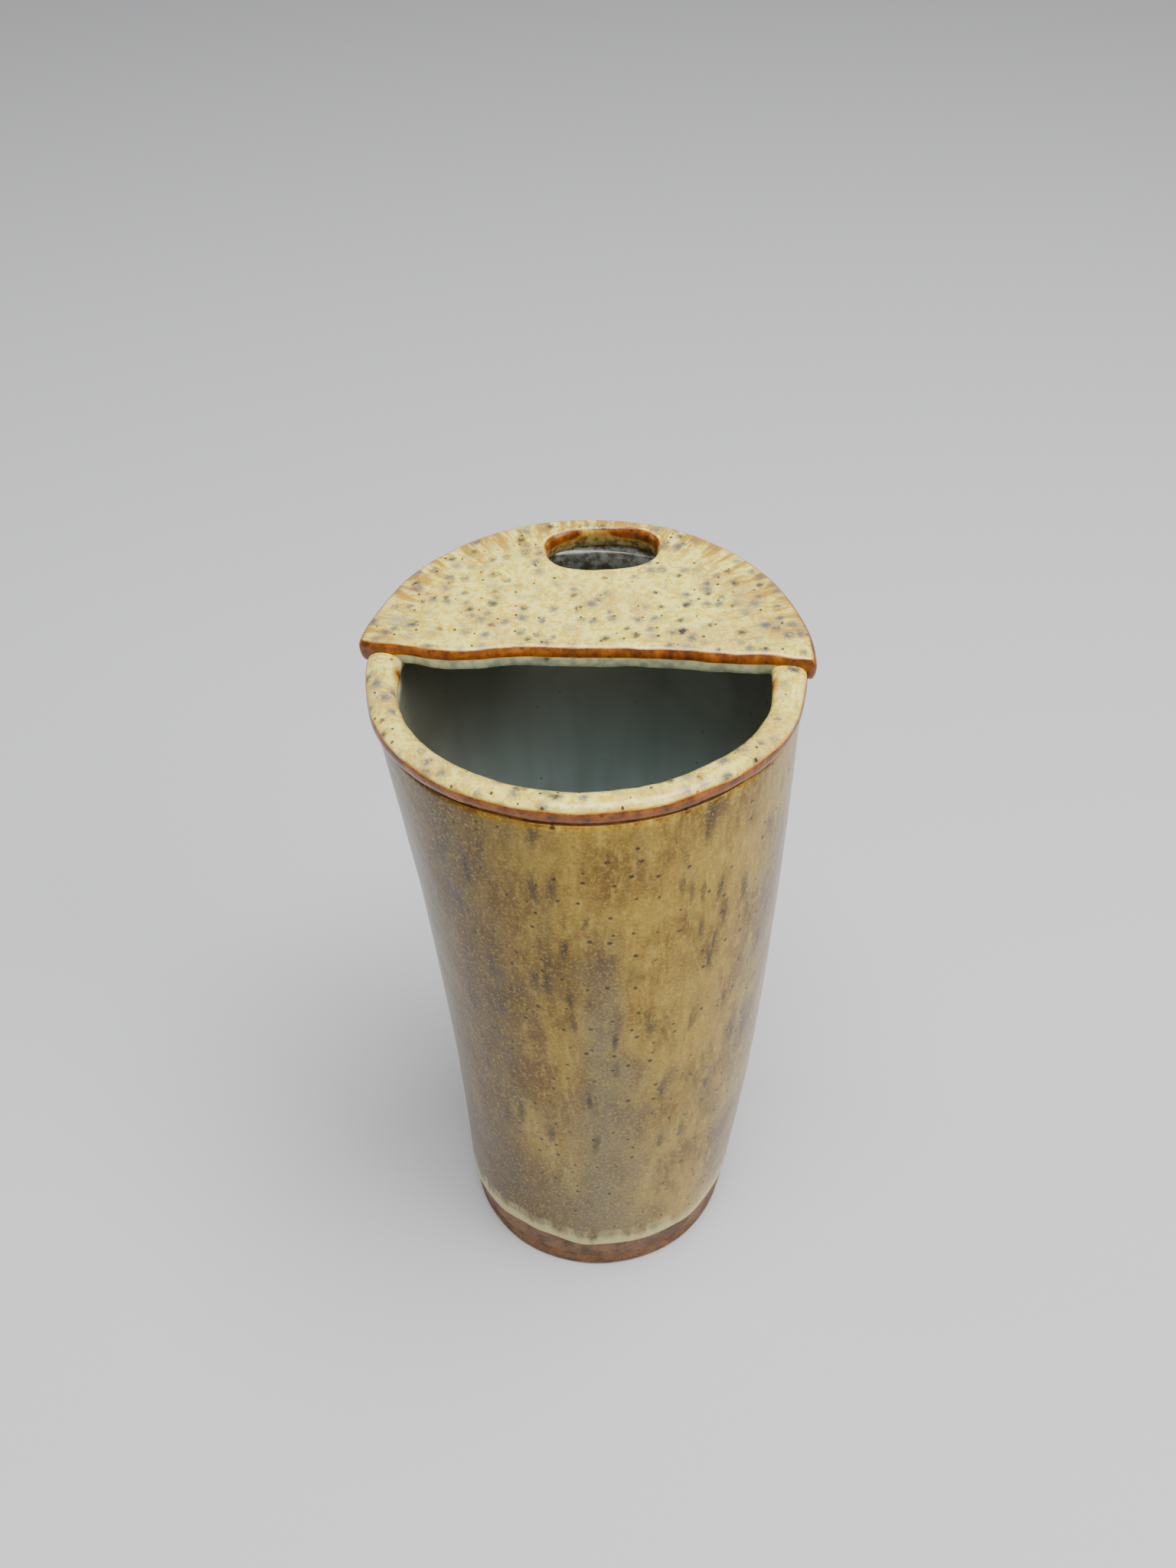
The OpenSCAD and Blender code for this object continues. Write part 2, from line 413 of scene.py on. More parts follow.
    # iron specks, then fine light and dark grains
    specks = f.spots(flat, 5.2, 0.8, 0.5, 0.5) * off_join
    colour = (specks * 0.9).choose(colour, iron)
    colour = (grain.step(0.50, 0.68) * 0.42).choose(colour, fine_light)
    colour = (grain.step(0.47, 0.32) * 0.45).choose(colour, fine_brown)

    # rust under the rim, and the pale thick edge above the foot
    rust = f.mask("rust") + (f.noise(f.place, 2.4, 3.0) - 0.5) * 0.9
    rust = rust.step(0.42, 0.68)
    colour = (rust * 0.85).choose(colour, rusty(f, rust, 3.0))
    pale = (f.mask("pale") + (streaks - 0.5) * 0.9).step(0.45, 1.0)
    colour = (pale * 0.8).choose(colour, foot_cream)

    # a little less mirror-like than window glass, which keeps the flanks warm
    f.shader.inputs["IOR"].default_value = 1.36
    roughness = blotch * 0.10 + grain * 0.06 + 0.16
    bump = f.noise(f.place, 5.0, 2.0) * 0.7 + streaks * 0.25 + grain * 0.06 - specks * 0.10
    return f.done(colour, roughness, bump, 0.5, 0.5)


def make_cream():
    """Glossy cream glaze of the deck and the lip."""
    f = Finish("cream_glaze")
    radius = (f.x * f.x + f.y * f.y).maths("SQRT")
    outward = f.point(f.around(46.0), radius * 0.16, f.z * 0.4)
    bent = f.noise(f.place, 5.0, 2.0) - 0.5
    flat = f.point(f.x, f.y, 0.0)
    upward = f.upward()

    broad = f.noise(f.place, 15.0, 2.0)
    mottle = f.noise(f.place, 1.8, 3.0, 0.65)
    grain = f.noise(f.place, 0.7, 2.0, 0.6)
    run = f.noise(outward, 1.9, 3.0, 0.6)

    cream = rgb(255, 246, 132)
    butter = rgb(232, 204, 76)
    ochre = rgb(172, 126, 36)
    blue = rgb(82, 84, 106)
    sand = rgb(206, 172, 92)
    fine_cream = rgb(255, 248, 160)
    thick_white = rgb(254, 248, 200)
    end_brown = rgb(128, 112, 88)
    core_blue = rgb(46, 42, 62)
    pin_brown = rgb(52, 34, 28)
    stain_dark, stain_light = rgb(64, 50, 36), rgb(158, 140, 92)
    amber = rgb(186, 128, 44)
    iron = rgb(52, 26, 12)
    lap_grey, lap_cream = rgb(168, 178, 150), rgb(222, 226, 182)
    lap_mark = rgb(60, 54, 56)

    colour = mottle.step(0.42, 0.56).choose(butter, cream)
    colour = (broad.step(0.50, 0.68) * 0.7).choose(colour, sand)
    colour = (grain.step(0.50, 0.66) * 0.45).choose(colour, fine_cream)
    colour = (grain.step(0.44, 0.30) * 0.40).choose(colour, ochre)

    # the glaze runs outwards and thins towards the round edge
    edge = radius.step(32.0, 49.5) * f.y.step(-2.0, 6.0)
    colour = (edge * run.step(0.58, 0.42) * 0.85).choose(colour, ochre)
    colour = (edge * run.step(0.60, 0.72) * 0.8).choose(colour, thick_white)
    ends = f.x.maths("ABSOLUTE").step(22.0, 44.0) * f.y.step(26.0, 12.0) * f.y.step(-6.0, 2.0)
    colour = (ends * run.step(0.50, 0.64) * 0.6).choose(colour, end_brown)

    # blue-grey spots and smudges, each with a darker core here and there, and pinholes
    ragged = f.noise(f.place, 1.2, 3.0, 0.75) - 0.5
    spot_at = f.point(f.x + ragged * 2.8, f.y + ragged * 2.2, 0.0)
    many = f.noise(flat, 13.0, 1.0).step(0.38, 0.56)
    spots = f.spots(spot_at, 4.2, 2.7, 0.72, 0.9) * (many * 0.65 + 0.35)
    smudge = f.noise(outward, 3.0, 3.0, 0.6).step(0.60, 0.74) * 0.4
    smudge = smudge * f.noise(flat, 9.0, 1.0).step(0.45, 0.6)
    spots = spots * mottle.step(0.28, 0.50) * upward
    colour = (spots * 0.85).at_least(smudge).choose(colour, blue)
    cores = f.spots(spot_at, 6.1, 2.1, 0.42, 0.9) * mottle.step(0.30, 0.5) * upward
    colour = (cores * 0.9).choose(colour, core_blue)
    pinholes = f.spots(flat, 4.6, 0.55, 0.5, 0.5) * upward
    colour = (pinholes * 0.9).choose(colour, pin_brown)

    # grey-brown and mottled inside the hole
    near_side, far_side = HOLE_Y - HOLE_D, HOLE_Y + HOLE_D
    in_hole = (f.x - HOLE_X).maths("ABSOLUTE").step(HOLE_W + 1.8, HOLE_W + 0.2)
    in_hole = in_hole * f.y.step(near_side - 1.5, near_side - 0.6)
    in_hole = in_hole * f.y.step(far_side + 0.9, far_side + 0.3)
    under_top = (f.y * SLOPE + (DECK_UNDER + DECK_THICK) - f.z).step(1.3, 2.6)
    stain = mottle.step(0.36, 0.60).choose(stain_dark, stain_light)
    colour = (in_hole * under_top * 0.9).choose(colour, stain)
    # a trace of an iron run on the hole's far rim
    run_spot = (f.x - HOLE_X - 0.4 + ragged * 3.0).maths("ABSOLUTE").step(1.5, 0.3)
    run_spot = run_spot * (f.y - far_side - 0.2).maths("ABSOLUTE").step(1.8, 0.6) * upward

    # ochre, then rust brown, where the glaze breaks over an edge
    thin = f.mask("rust") + bent * 0.35 + (grain - 0.5) * 0.35
    colour = (thin.step(0.08, 0.45) * 0.75).choose(colour, amber)
    rust = thin.step(0.40, 0.70)
    colour = rust.choose(colour, rusty(f, rust, 3.0))
    along = f.point(f.x, f.z * 1.2 + f.y, 0.0)
    dots = f.spots(along, 3.4, 1.0, 0.45, 0.9)
    colour = (dots * rust * 0.7).at_least(run_spot * 0.9).choose(colour, iron)

    # pale blue-green where the liner glaze laps round
    pale = (f.mask("pale") + bent * 0.3 + (grain - 0.5) * 0.3).step(0.40, 0.62)
    lap = f.noise(f.place, 2.6, 2.0).step(0.35, 0.65).choose(lap_grey, lap_cream)
    marks = f.spots(along, 6.5, 1.5, 0.4, 0.9)
    lap = (marks * 0.8).choose(lap, lap_mark)
    colour = pale.choose(colour, lap)

    roughness = mottle * 0.10 + grain * 0.05 + 0.12
    bump = f.noise(f.place, 4.0, 2.0) * 0.6 + mottle * 0.12 + grain * 0.05 - pinholes * 0.15
    return f.done(colour, roughness, bump, 0.5, 0.45)


def make_liner():
    """Smooth pale blue-grey liner glaze with faint streaks, and painted shade under the deck."""
    f = Finish("pale_liner_glaze")
    soft = f.noise(f.point(f.x, f.y, f.z * 0.14), 7.0, 2.0)
    cloud = f.noise(f.place, 22.0, 2.0)
    grain = f.noise(f.place, 0.9, 2.0, 0.6)

    grey_blue, pale_blue = rgb(192, 206, 206), rgb(208, 220, 220)
    # colour of the painted shadow that the deck casts on the rear wall
    painted_deck_shadow = rgb(104, 100, 84)
    cloud_grey = rgb(150, 156, 144)
    # dark and light tones of the painted shade in the corner under the deck
    corner_shade_dark, corner_shade_light = rgb(38, 33, 26), rgb(84, 90, 86)
    speck_brown = rgb(80, 70, 58)
    edge_cream = rgb(226, 222, 182)

    # painted shadow of the deck: browner and darker towards the top of the rear wall
    colour = soft.step(0.25, 0.75).choose(grey_blue, pale_blue)
    shade = f.z.step(104.0, 160.0) * f.y.step(-30.0, 10.0)
    colour = (shade * 0.95).choose(colour, painted_deck_shadow)
    colour = (cloud.step(0.52, 0.72) * 0.3).choose(colour, cloud_grey)

    # painted shade, mottled, in the corner under the rear of the deck
    corner = f.z.step(166.0, 184.0) * f.y.step(24.0, 36.0)
    thin = f.noise(f.place, 2.6, 3.0, 0.65).step(0.38, 0.60).choose(corner_shade_dark, corner_shade_light)
    colour = (corner * 0.92).choose(colour, thin)

    # specks on the wall; the floor and the join at the back have none
    around = f.around(40.0)
    on_wall = f.z.step(12.0, 18.0) * around.maths("ABSOLUTE").step(124.0, 116.0)
    specks = f.spots(f.point(around, f.z, 0.0), 9.0, 0.6, 0.5, 0.5) * on_wall
    colour = (specks * 0.6).choose(colour, speck_brown)

    # cream, then rust, where the masks ask for it
    cream = (f.mask("pale") + (f.noise(f.place, 3.0, 2.0) - 0.5) * 0.5).step(0.35, 0.7)
    colour = (cream * 0.8).choose(colour, edge_cream)
    rust = (f.mask("rust") + (f.noise(f.place, 2.0, 3.0) - 0.5) * 0.8).step(0.45, 0.65)
    colour = (rust * 0.9).choose(colour, rusty(f, rust, 3.0))
    roughness = cloud * 0.08 + grain * 0.03 + 0.10
    bump = f.noise(f.place, 8.0, 2.0) * 0.8 + grain * 0.03
    return f.done(colour, roughness, bump, 0.4, 0.4)


def make_clay(name, main, dark, light):
    """Bare fired stoneware: matt, grainy, with darker iron specks."""
    f = Finish(name)
    iron = rgb(46, 28, 20)
    grain = f.noise(f.place, 0.5, 4.0, 0.7)
    broad = f.noise(f.place, 6.0, 3.0, 0.6)
    colour = broad.step(0.36, 0.64).choose(dark, main)
    colour = (grain.step(0.50, 0.70) * 0.5).choose(colour, light)
    colour = (grain.step(0.42, 0.26) * 0.5).choose(colour, dark)
    # specks follow the side and leave the underside clean
    specks = f.spots(f.point(f.around(37.0), f.z, 0.0), 3.0, 0.5, 0.5, 0.5)
    specks = specks * (f.x * f.x + f.y * f.y).step(900.0, 1200.0)
    colour = (specks * 0.8).choose(colour, iron)
    roughness = grain * 0.16 + 0.62
    bump = grain * 0.5 + broad * 0.3 - specks * 0.3
    return f.done(colour, roughness, bump, 0.7, 0.25)


ochre = make_ochre()
cream = make_cream()
liner = make_liner()
foot_clay = make_clay("bare_foot_clay", rgb(130, 88, 48), rgb(80, 50, 26), rgb(170, 128, 78))
body_clay = make_clay("stoneware_clay", rgb(136, 98, 62), rgb(84, 56, 36), rgb(172, 134, 92))


# ---------------------------------------------------------------------- pieces

def make_base():
    """The round base slab, bare clay, a little uneven at its lower edge."""
    middle, spread = 8.0, 24.0             # radii of the flat faces' inner rings
    rounding, lift = 1.2, 1.3              # width and height of the rounded lower edge
    turns = 6

    def edge(inset):
        return lambda a: (BASE_R - inset - 0.2
                          + 0.25 * wave(2 * math.cos(a), 2 * math.sin(a), 4.0))

    # the underside, hollowed a little towards its middle
    rows = [ring(middle, 0.5), ring(spread, 0.45), ring(edge(3.4), 0.3)]
    rows += [ring(edge(2.2), 0.0), ring(edge(rounding), 0.0)]
    for k in range(1, turns):
        t = math.pi / 2 * k / turns
        rows.append(ring(edge(rounding - rounding * math.sin(t)), lift * (1 - math.cos(t))))
    rows.append(ring(edge(0.0), 1.4))
    for inset, z in ((-0.12, 3.4), (-0.2, BASE_TOP - 0.5), (0.0, BASE_TOP - 0.1)):
        rows.append(ring(edge(inset), z, 1.0))
    for radius in (BASE_R - 1.0, spread, middle):
        rows.append(ring(radius, BASE_TOP, 1.0))
    return make_piece("base_slab_clay", rows, ["base_slab"], foot_clay)


def rear_height(x, y, margin):
    """Top of the wall at a place: a margin under the deck behind its front edge, else just
    below the lip."""
    behind = smooth(front_edge(x) + 1.0, front_edge(x) + 4.5, y)
    return WALL_TOP - 0.4 + (deck_plane(x, y) - margin - WALL_TOP + 0.4) * behind


def wall_ring(share, inset, margin, low):
    """A ring at a share of the height between low and the wall's top edge."""
    points = []
    for i in range(AROUND):
        a = 2 * math.pi * i / AROUND
        rough_x, rough_y = RIM_R * math.cos(a), RIM_R * math.sin(a)
        bottom = low(a) if callable(low) else low
        z = bottom + (rear_height(rough_x, rough_y, margin) - bottom) * share
        r = outer_radius(a, z) - inset
        points.append((r * math.cos(a) + bow(z), r * math.sin(a), z, 0.0, 0.0))
    return points


def make_wall():
    """The clay wall between the coats; its bare foot shows below the outer glaze."""
    steps = 28
    margin = 1.0
    inner = COAT + CLAY - 0.1
    rows = [wall_ring(k / steps, COAT, margin, BASE_TOP) for k in range(steps + 1)]
    rows += [wall_ring(k / steps, inner, margin, BASE_TOP) for k in range(steps, -1, -1)]
    return make_piece("body_wall_clay", rows, ["body_wall"], body_clay,
                      joined=True)


def glaze_line(a):
    """Height at which the outer glaze stops: a slow hand-dipped wave with small runs."""
    c, s = math.cos(a), math.sin(a)
    return (GLAZE_LINE + 0.5 + 2.4 * wave(1.8 * c + 2, 1.8 * s) + 1.3 * wave(4.5 * c, 4.5 * s, 7.0)
            + 1.4 * math.sin(a + 2.6))


def bead_ring(drop, out):
    """A ring of the coat's rounded lower edge: its drop below the glaze line, and how far
    out it lies as a share of the coat."""
    points = []
    mark = 0.6 + 0.4 * smooth(-5.0, -1.0, drop)
    for i in range(AROUND):
        a = 2 * math.pi * i / AROUND
        z = glaze_line(a) - drop
        swell = 1.0 + 0.35 * wave(5 * math.cos(a), 5 * math.sin(a), 2.0)
        r = outer_radius(a, z) - COAT + COAT * out * swell
        points.append((r * math.cos(a) + bow(z), r * math.sin(a), z, 0.0, mark))
    return points


def make_outer_coat():
    """The ochre coat, with a rounded thick bead at its lower edge."""
    margin = 0.06
    inner_steps, outer_steps = 12, 90
    # inner face, against the clay, from the top down
    rows = [wall_ring(k / inner_steps, COAT - 0.04, margin, glaze_line)
            for k in range(inner_steps, -1, -1)]
    for drop, out in ((0.25, 0.25), (0.32, 0.6), (0.15, 0.85), (-0.35, 1.04), (-1.1, 1.1),
                      (-2.0, 1.07), (-3.2, 1.02), (-4.6, 1.0)):
        rows.append(bead_ring(drop, out))
    # outer face, from the bead up to the rim
    for k in range(1, outer_steps + 1):
        points = []
        for x, y, z, _, _ in wall_ring(k / outer_steps, 0.0, margin,
                                       lambda a: glaze_line(a) + 5.0):
            rust = 0.55 * smooth(3.2, 0.4, rear_height(x, y, margin) - z)
            pale = 0.9 * smooth(11.0, 4.0, z - glaze_line(math.atan2(y, x)))
            points.append((x, y, z, rust, pale))
        rows.append(points)
    return make_piece("ochre_coat", rows, ["outer_glaze"], ochre, joined=True)


def make_liner_coat():
    """The liner: floor with a soft corner, wall, and a thin edge below the lip."""
    inset = COAT + CLAY
    floor = BASE_TOP + 0.05
    hub, middle = 0.4, 14.0                # radii of the floor's inner rings
    corner = 4.0                           # radius of the soft corner
    margin, inner_margin = 0.9, 0.5
    steps, turns = 40, 8

    def at(z, depth):
        def radius(a):
            return outer_radius(a, z) - depth
        return ring(radius, z, 1.0)

    # the hidden side, against the clay: floor, then wall
    rows = [ring(hub, floor, 1.0), ring(middle, floor, 1.0)]
    rows += [at(floor, inset + 3.0), at(floor, inset + 0.05)]
    rows += [wall_ring(k / steps, inset - 0.02, margin, floor) for k in range(1, steps + 1)]
    rows.append(wall_ring(1.0, inset - 3.0, 0.85, floor))
    rows.append(wall_ring(1.0, inset - 3.0, inner_margin, floor))
    # the side that shows: wall from the top down, corner, floor
    for k in range(steps, -1, -1):
        points = []
        for x, y, z, _, _ in wall_ring(k / steps, inset + COAT, inner_margin,
                                       floor + COAT + corner):
            top = rear_height(x, y, inner_margin)
            pale = 0.8 * (1 - smooth(0.0, 7.0, top - z)) * (1 - smooth(2.0, 12.0, y))
            points.append((x, y, z, 0.0, pale))
        rows.append(points)
    for k in range(1, turns):
        t = math.pi / 2 * k / turns
        depth = inset + COAT + corner * (1 - math.cos(t))
        rows.append(at(floor + COAT + corner * (1 - math.sin(t)), depth))
    rows.append(at(floor + COAT, inset + COAT + corner + 1.0))
    rows += [ring(middle, floor + COAT, 1.0), ring(hub, floor + COAT, 1.0)]
    return make_piece("liner_coat", rows, ["liner_glaze"], liner)


def make_lip():
    """The thick rolled lip round the open front half; its ends run in under the deck."""
    half_wide, half_high = 3.45, 2.75
    square = 0.95                          # under 1, its section is fuller than an ellipse
    centre_r = RIM_R - half_wide
    start, end = math.radians(180 - 12), math.radians(360 + 2)
    spans, around = 220, 32
    rows = []
    for k in range(spans + 1):
        a = start + (end - start) * k / spans
        c, s = math.cos(a), math.sin(a)
        # 1 at the deck's front edge, where the lip swells to meet it, and 0 well before it
        gap = front_edge(centre_r * c) - centre_r * s
        near = 1 - smooth(0.5, 13.0, gap)
        swell = 1.0 + 0.05 * wave(3 * c, 3 * s, 1.0) + 0.03 * wave(9 * c, 9 * s, 5.0)
        shift = 0.25 * wave(2.2 * c, 2.2 * s, 9.0) - 1.2 * smooth(0.3, 1.0, -s)
        rise = 0.3 * wave(2.6 * c, 2.6 * s, 3.0) + 0.12 * wave(10 * c, 10 * s, 8.0)
        rise += 1.0 * smooth(0.0, 1.0, -s) - 0.5 + 3.0 * near
        # behind the front edge each end thins and sinks into the wall
        sunk = smooth(0.5, -7.0, gap)
        shift -= 2.6 * sunk
        swell *= 1.0 - 0.35 * sunk
        # a faint rust patch on the bore side, just short of the deck
        patch = smooth(0.15, 0.75, near) * (1 - smooth(0.85, 1.0, near))
        patch *= 0.55 + 0.2 * wave(30 * c, 30 * s, 2.0)
        rust_turn = 9.0 - 7.0 * wave(4 * c, 4 * s, 6.0)
        row = []
        for j in range(around):
            # 0 degrees is the outer side, 90 the top, 180 the bore side
            t = 2 * math.pi * j / around
            ct, st = math.cos(t), math.sin(t)
            dr = half_wide * swell * math.copysign(abs(ct) ** square, ct)
            if ct < 0:
                dr *= 1 + 0.3 * near
            dz = half_high * swell * math.copysign(abs(st) ** square, st)
            if st < 0:
                dz *= 1.25 + 0.5 * near
            r = centre_r + shift + dr
            deg = math.degrees(t) % 360
            outer = (deg + 180) % 360 - 180
            rust = 1.0 - smooth(16.0, 48.0, abs(outer + rust_turn))
            rust = max(rust, patch * smooth(110.0, 160.0, deg) * smooth(240.0, 190.0, deg))
            pale = smooth(182.0, 215.0, deg) * (1 - smooth(285.0, 300.0, deg))
            pale = max(pale, 0.5 * near * smooth(110.0, 150.0, deg) * smooth(290.0, 270.0, deg))
            row.append((r * c, r * s, LIP_Z + dz + rise, rust, pale))
        rows.append(row)
    return make_piece("rolled_lip", rows, ["front_lip", "lip_glaze"], cream)


def deck_outline():
    """Evenly spaced points round the deck: the cut front edge, then the arc.

    Each point is x, y and a share: 1 on the front edge, 0 on the arc."""
    radius = RIM_R + 0.8
    left_x, right_x = -radius - 1.2, radius + 0.8
    raw = []
    x = left_x
    while x < right_x:
        raw.append((x, front_edge(x), 1.0))
        x += 0.4
    first = math.atan2(front_edge(right_x), right_x)
    last = math.atan2(front_edge(left_x), left_x)
    steps = 420
    for k in range(1, steps):
        a = first + (last - first) * k / steps
        r = radius + 0.35 * wave(3 * math.cos(a), 3 * math.sin(a), 6.0)
        r += 1.1 * smooth(0.45, 0.0, a - first) + 1.2 * smooth(0.3, 0.0, last - a)
        raw.append((r * math.cos(a), r * math.sin(a), 0.0))
    # each point becomes the mean of its neighbours, which rounds the two corners a little
    size, reach = len(raw), 4
    soft = []
    for i in range(size):
        near = [raw[(i + d) % size] for d in range(-reach, reach + 1)]
        soft.append([sum(p[m] for p in near) / len(near) for m in range(3)])
    lengths = [0.0]
    for p, q in zip(soft, soft[1:] + soft[:1]):
        lengths.append(lengths[-1] + math.hypot(q[0] - p[0], q[1] - p[1]))
    points = []
    j = 0
    for i in range(DECK_POINTS):
        target = lengths[-1] * i / DECK_POINTS
        while lengths[j + 1] < target:
            j += 1
        t = (target - lengths[j]) / (lengths[j + 1] - lengths[j])
        p, q = soft[j], soft[(j + 1) % size]
        points.append([p[m] + (q[m] - p[m]) * t for m in range(3)])
    return points


def outline_normals(outline):
    """Outward directions along the outline."""
    normals = []
    for i in range(len(outline)):
        p, q = outline[i - 2], outline[(i + 2) % len(outline)]
        dx, dy = q[0] - p[0], q[1] - p[1]
        size = math.hypot(dx, dy)
        normals.append((dy / size, -dx / size))
    return normals


def hole_outline(outline):
    """The oval hole: one point for each point of the outline, with its direction."""
    power = 2.35                           # over 2, its corners are fuller than an ellipse's
    hole = []
    for x, y, _ in outline:
        a = math.atan2((y - HOLE_Y) / HOLE_D, (x - HOLE_X) / HOLE_W)
        c, s = math.cos(a), math.sin(a)
        fat = 1.0 / (abs(c) ** power + abs(s) ** power) ** (1 / power)
        uneven = 1.0 + 0.025 * wave(3 * c, 3 * s, 2.5)
        hole.append((HOLE_X + HOLE_W * c * fat * uneven, HOLE_Y + HOLE_D * s * fat * uneven,
                     c, s))
    return hole


def under_inset(front):
    """How far inside the outline the deck's flat underside starts."""
    return 1.0 + 0.9 * (1 - front)


def lay(x, y, height, rust, pale):
    """A point of the deck at a height above its plane; the top sags a little unevenly."""
    share = (height - DECK_LOW) / (DECK_HIGH - DECK_LOW)
    sag = 0.22 * wave(x / 15, y / 15, 3.0) + 0.08 * wave(x / 5, y / 5, 1.0)
    z = deck_plane(x, y) + height + sag * share
    return (x, y, min(z, deck_high[2] + 0.2), rust, pale)


def deck_edge_rows(outline, normals):
    """The outer edge, from the underside up and over to the top."""
    steps = 14
    middle = (DECK_LOW + DECK_HIGH) / 2 + 0.6
    up, down = DECK_HIGH - middle, middle - DECK_LOW
    rows = []
    for k in range(steps + 1):
        t = -math.pi / 2 + math.pi * k / steps
        angle = math.degrees(t)
        row = []
        for (x, y, front), (nx, ny) in zip(outline, normals):
            if t >= 0:
                inset = EDGE_INSET * (1 - math.cos(t) ** 0.9)
                height = middle + up * math.sin(t)
            else:
                inset = under_inset(front) * (1 - math.cos(t) ** 0.8)
                height = middle + down * math.sin(t)
            drip = 0.35 * wave(x / 7, y / 7, 4.0) * front * max(-math.sin(t), 0)
            ripple = 0.3 * wave(x / 9 + 4, 2.0, 1.0) * front * max(math.sin(t), 0)
            corner = smooth(41.0, 46.0, abs(x))
            thin = 8.0 * wave(x / 5, y / 5, 8.0)
            rust_front = max(smooth(-12.0, 2.0, angle), corner)
            rust_front *= 1 - smooth(38.0, 66.0, angle + thin)
            rust_back = smooth(-60.0, -20.0, angle) * (1 - smooth(30.0, 88.0, angle + thin))
            rust = rust_front * front + rust_back * (1 - front)
            pale = (1 - smooth(-16.0, -4.0, angle)) * front * smooth(44.5, 41.0, abs(x))
            row.append(lay(x - nx * inset, y - ny * inset, height + drip + ripple, rust, pale))
        rows.append(row)
    return rows


def deck_top_rows(outline, normals, hole):
    """Across the top, from the outer edge to the hole."""
    spans = 34
    rows = []
    for k in range(1, spans):
        t = k / spans
        row = []
        for (x, y, front), (nx, ny), (hx, hy, hc, hs) in zip(outline, normals, hole):
            ax, ay = x - nx * EDGE_INSET, y - ny * EDGE_INSET
            bx, by = hx + hc * HOLE_BEVEL, hy + hs * HOLE_BEVEL
            gap = math.hypot(bx - ax, by - ay)
            rust = 0.42 * (1 - smooth(0.0, 1.6, gap * t)) * (1 - 0.4 * (1 - front))
            rust = max(rust, 0.45 * (1 - smooth(0.0, 1.2, gap * (1 - t))))
            row.append(lay(ax + (bx - ax) * t, ay + (by - ay) * t, DECK_HIGH, rust, 0.0))
        rows.append(row)
    return rows


def deck_hole_rows(hole):
    """Over the hole's rim and down its wall."""
    steps = 12
    rim = DECK_HIGH - HOLE_BEVEL
    rows = []
    for k in range(steps + 1):
        t = math.pi / 2 - math.pi * k / steps
        angle = math.degrees(t)
        if t >= 0:
            out = HOLE_BEVEL * (1 - math.cos(t))
            height = rim + HOLE_BEVEL * math.sin(t)
        else:
            out = HOLE_FLARE * (1 - math.cos(t))
            height = rim + (rim - DECK_LOW) * math.sin(t)
        row = []
        for hx, hy, hc, hs in hole:
            rust = smooth(-34.0, 0.0, angle) * (1 - smooth(45.0, 80.0, angle))
            rust *= 0.30 + 0.75 * smooth(-0.2, 0.5, hs) * smooth(0.05, 0.55, abs(hc + 0.12))
            row.append(lay(hx + hc * out, hy + hs * out, height, rust, 0.0))
        rows.append(row)
    return rows


def deck_under_rows(outline, normals, hole):
    """Back across the underside, from the hole to the outer edge."""
    steps = 14
    rows = []
    for k in range(1, steps):
        t = k / steps
        row = []
        for (x, y, front), (nx, ny), (hx, hy, hc, hs) in zip(outline, normals, hole):
            inset = under_inset(front)
            ax, ay = x - nx * inset, y - ny * inset
            bx, by = hx + hc * HOLE_FLARE, hy + hs * HOLE_FLARE
            row.append(lay(bx + (ax - bx) * t, by + (ay - by) * t, DECK_LOW, 0.0, 1.0))
        rows.append(row)
    return rows


def make_deck():
    """The half-moon deck with its oval hole: one closed slab with rounded edges."""
    outline = deck_outline()
    normals = outline_normals(outline)
    hole = hole_outline(outline)
    rows = deck_edge_rows(outline, normals)
    rows += deck_top_rows(outline, normals, hole)
    rows += deck_hole_rows(hole)
    rows += deck_under_rows(outline, normals, hole)
    return make_piece("half_moon_deck", rows, ["deck_slab", "deck_glaze", "underside_glaze"],
                      cream, joined=True)


def make_fillet(name, start, end, replaced):
    """Clay worked into the corner between the wall and the deck's underside.

    It runs from a start to an end angle in degrees, and thins at both."""
    spans, turns = 60, 8
    corner_z = 186.0
    full_size = 4.2
    rows = []
    for k in range(spans + 1):
        a = math.radians(start + (end - start) * k / spans)
        c, s = math.cos(a), math.sin(a)
        r = outer_radius(a, corner_z) - COAT - CLAY
        fade = min(1.0, 6 * k / spans + 0.35, 6 * (spans - k) / spans + 0.35)
        size = full_size * fade * (1 + 0.12 * wave(4 * c, 4 * s, 3.0))
        top = deck_plane(r * c, r * s) - 0.4
        # the section: how far out from the wall's face, and how far up from the top
        section = [(0.25, 0.1), (0.25, -size)]
        for m in range(1, turns):
            t = math.pi / 2 * m / turns
            section.append((-size * (1 - math.cos(t)), -size * (1 - math.sin(t))))
        section.append((-size, 0.1))
        rows.append([((r + dr) * c, (r + dr) * s, top + dz, 0.0, 0.3) for dr, dz in section])
    return make_piece(name, rows, [replaced], liner)


make_base()
make_wall()
make_outer_coat()
make_liner_coat()
make_lip()
make_deck()
make_fillet("fillet_left", 172, 118, "seam_left")
make_fillet("fillet_right", 0, 66, "seam_right")


# ------------------------------------------------------ floor, light and camera

def make_floor():
    """A plain pale floor, flat and wide."""
    floor = bmesh.new()
    bmesh.ops.create_grid(floor, x_segments=2, y_segments=2, size=3.0)
    mesh = bpy.data.meshes.new("floor")
    floor.to_mesh(mesh)
    floor.free()
    plane = bpy.data.objects.new("floor", mesh)
    bpy.context.scene.collection.objects.link(plane)
    material = bpy.data.materials.new("pale_floor")
    material.use_nodes = True
    shader = material.node_tree.nodes["Principled BSDF"]
    shader.inputs["Base Color"].default_value = (0.70, 0.72, 0.77, 1.0)
    shader.inputs["Roughness"].default_value = 0.85
    mesh.materials.append(material)


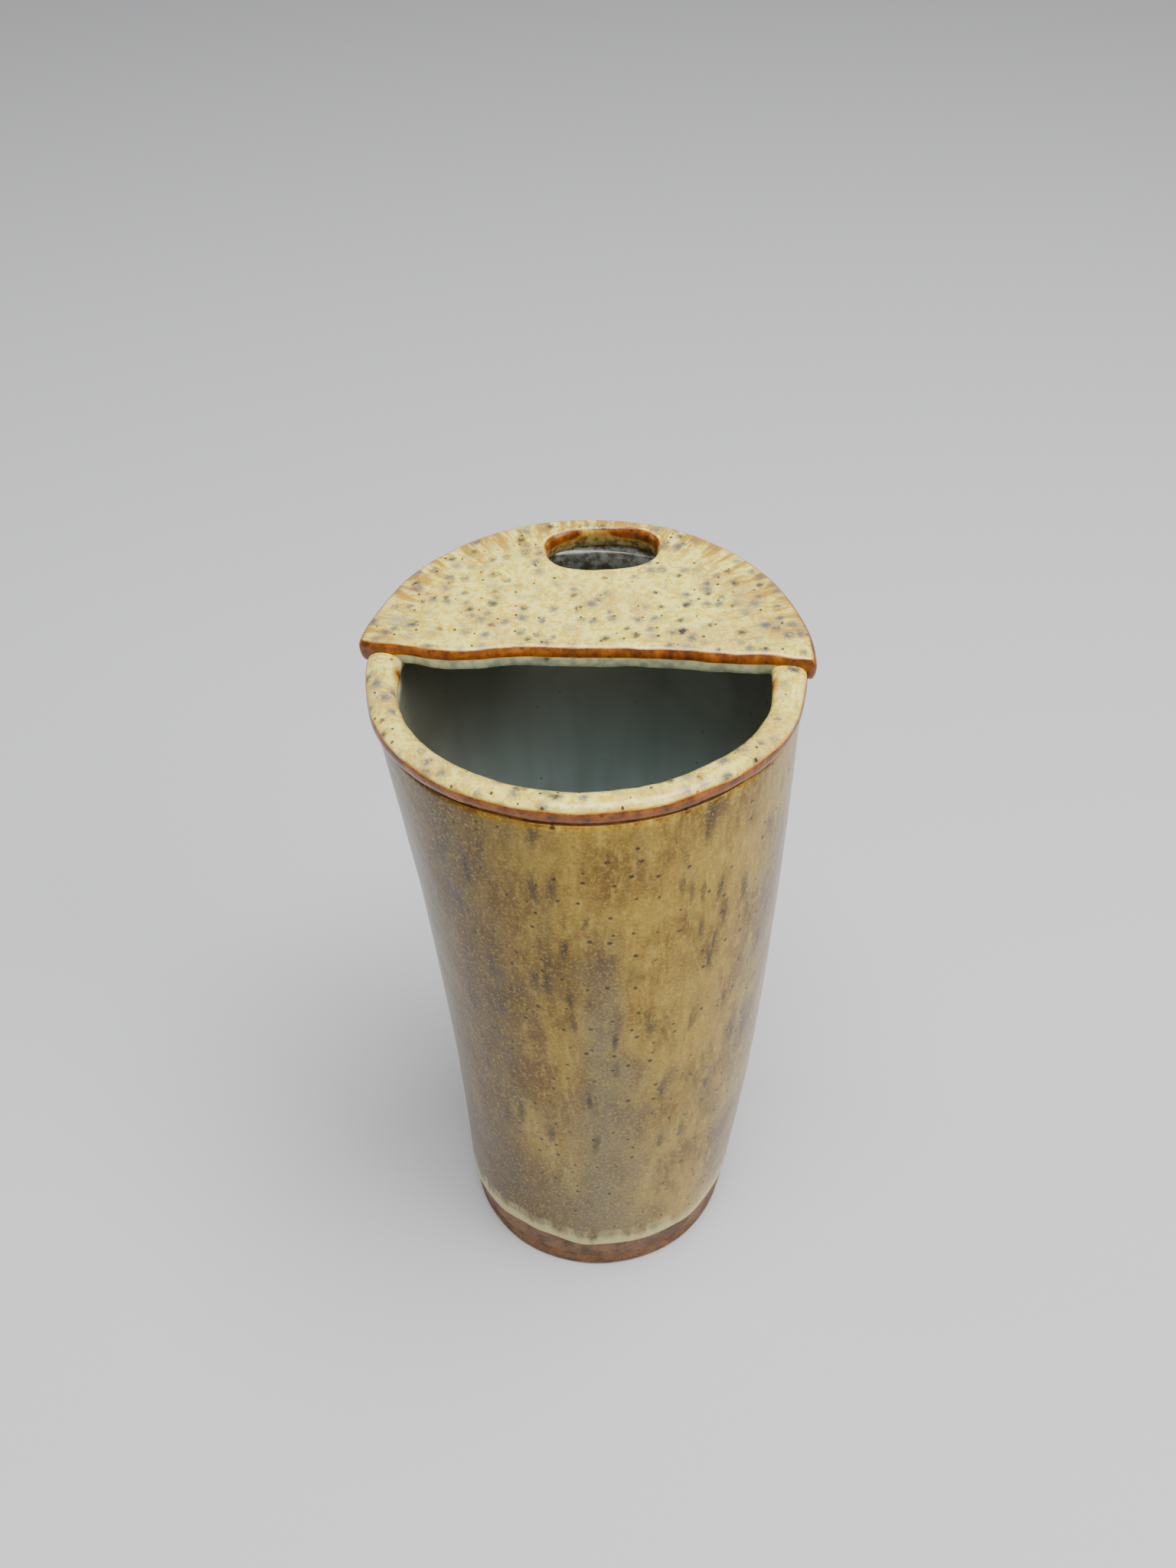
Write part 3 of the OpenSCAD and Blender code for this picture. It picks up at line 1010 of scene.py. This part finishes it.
def add_light(name, place, target, size, power, colour):
    """An oblong area light that faces a target; lengths are in metres."""
    data = bpy.data.lights.new(name, "AREA")
    data.shape = "RECTANGLE"
    data.size = size[0]
    data.size_y = size[1]
    data.energy = power
    data.color = colour
    light = bpy.data.objects.new(name, data)
    bpy.context.scene.collection.objects.link(light)
    light.location = place
    aim = Vector(target) - Vector(place)
    light.rotation_euler = aim.to_track_quat("-Z", "Y").to_euler()


def make_lights():
    """Soft light from above, weaker light from the sides, and a pale studio all round."""
    target = (0.0, 0.0, 0.12)
    add_light("overhead", (0.15, -0.20, 1.25), target, (0.9, 0.6), 20.0, (1.0, 0.98, 0.93))
    add_light("front_right", (0.75, -0.45, 0.80), target, (0.5, 0.5), 4.0, (1.0, 0.97, 0.92))
    add_light("left", (-1.1, 0.2, 0.45), target, (0.25, 0.9), 1.8, (0.93, 0.95, 1.0))
    world = bpy.data.worlds.new("studio")
    world.use_nodes = True
    sky = world.node_tree.nodes["Background"]
    sky.inputs["Color"].default_value = (0.92, 0.90, 0.87, 1.0)
    sky.inputs["Strength"].default_value = 0.38
    bpy.context.scene.world = world


def make_camera():
    """The camera looks down on the vase from in front, close by."""
    pitch, yaw, roll = math.radians(41.23), math.radians(-0.047), math.radians(-1.58)
    forward = Vector((math.sin(yaw) * math.cos(pitch), math.cos(yaw) * math.cos(pitch),
                      -math.sin(pitch)))
    right = Vector((math.cos(yaw), -math.sin(yaw), 0.0))
    up = right.cross(forward)
    side = right * math.cos(roll) + up * math.sin(roll)
    rise = up * math.cos(roll) - right * math.sin(roll)
    data = bpy.data.cameras.new("camera")
    data.lens = 36.52
    data.sensor_width = 36.0
    data.sensor_fit = "AUTO"
    data.dof.use_dof = False
    data.clip_start = 0.01
    camera = bpy.data.objects.new("camera", data)
    bpy.context.scene.collection.objects.link(camera)
    turn = Matrix((side, rise, -forward)).transposed().to_4x4()
    camera.matrix_world = Matrix.Translation((0.0, -0.2875, 0.4027)) @ turn
    bpy.context.scene.camera = camera


make_floor()
make_lights()
make_camera()
